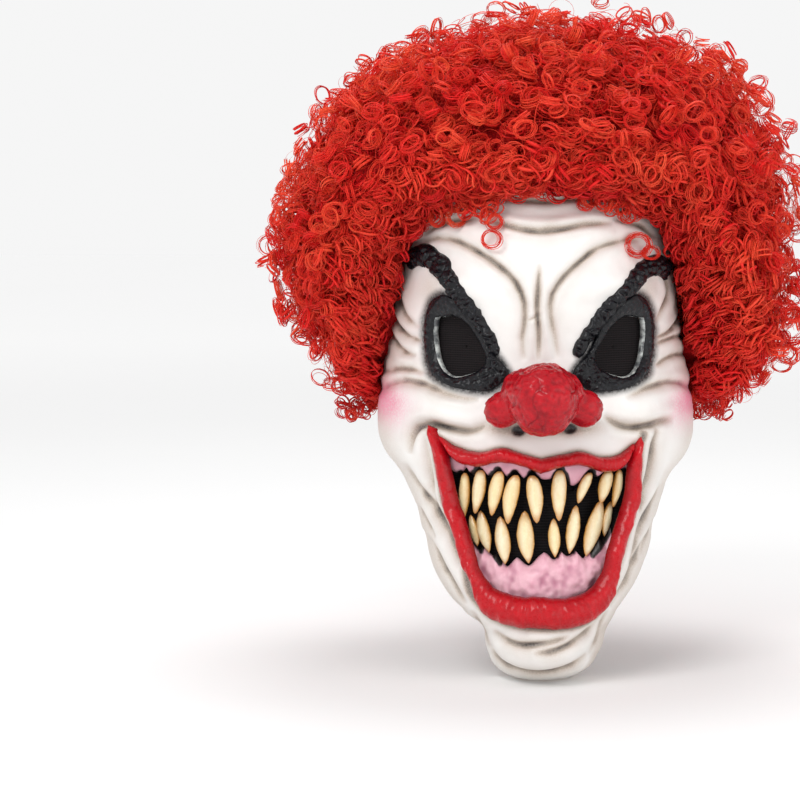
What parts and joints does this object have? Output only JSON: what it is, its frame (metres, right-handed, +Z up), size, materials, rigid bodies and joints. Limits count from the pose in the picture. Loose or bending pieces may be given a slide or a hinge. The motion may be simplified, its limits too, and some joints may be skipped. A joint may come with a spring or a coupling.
{
  "type": "latex halloween mask",
  "caption": "Scary clown mask for the whole head: white latex face with a wide fanged grin, bulb nose and black brows, and a red curly afro wig on a net cap.",
  "frame": {"origin": "centre of the wearer's head, level with the eye holes", "axes": "+Z up, -Y the way the mask faces, +X to the right of someone looking at the mask"},
  "size_m": [0.3108, 0.3172, 0.3939],
  "materials": {
    "white_latex": "satin",
    "red_gloss": "gloss",
    "lip_red": "gloss",
    "black_gloss": "satin",
    "black_mesh": "matte",
    "black_cloth": "matte",
    "gum_pink": "satin",
    "tooth_ivory": "gloss",
    "cap_net": "matte",
    "black_tape": "matte",
    "red_hair": "satin"
  },
  "bodies": {
    "root": {"face_skin": "white_latex", "hair_back_lower": "red_hair", "hair_back_middle": "red_hair", "hair_back_upper": "red_hair", "hair_crown": "red_hair", "hair_front_upper": "red_hair", "hair_left_lower": "red_hair", "hair_left_middle": "red_hair", "hair_left_upper": "red_hair", "hair_right_lower": "red_hair", "hair_right_middle": "red_hair", "hair_right_upper": "red_hair", "hairline_tape": "black_tape", "left_brow": "black_gloss", "left_eye_mesh": "black_mesh", "left_eye_rim": "black_gloss", "lower_gum": "gum_pink", "lower_lip": "lip_red", "lower_tooth_1": "tooth_ivory", "lower_tooth_2": "tooth_ivory", "lower_tooth_3": "tooth_ivory", "lower_tooth_4": "tooth_ivory", "lower_tooth_5": "tooth_ivory", "lower_tooth_6": "tooth_ivory", "lower_tooth_7": "tooth_ivory", "lower_tooth_8": "tooth_ivory", "mouth_backing": "black_cloth", "nape_elastic": "black_tape", "nose": "red_gloss", "right_brow": "black_gloss", "right_eye_mesh": "black_mesh", "right_eye_rim": "black_gloss", "upper_gum": "gum_pink", "upper_lip": "lip_red", "upper_tooth_1": "tooth_ivory", "upper_tooth_2": "tooth_ivory", "upper_tooth_3": "tooth_ivory", "upper_tooth_4": "tooth_ivory", "upper_tooth_5": "tooth_ivory", "upper_tooth_6": "tooth_ivory", "upper_tooth_7": "tooth_ivory", "upper_tooth_8": "tooth_ivory", "upper_tooth_9": "tooth_ivory", "wig_cap": "cap_net"}
  },
  "joints": []
}
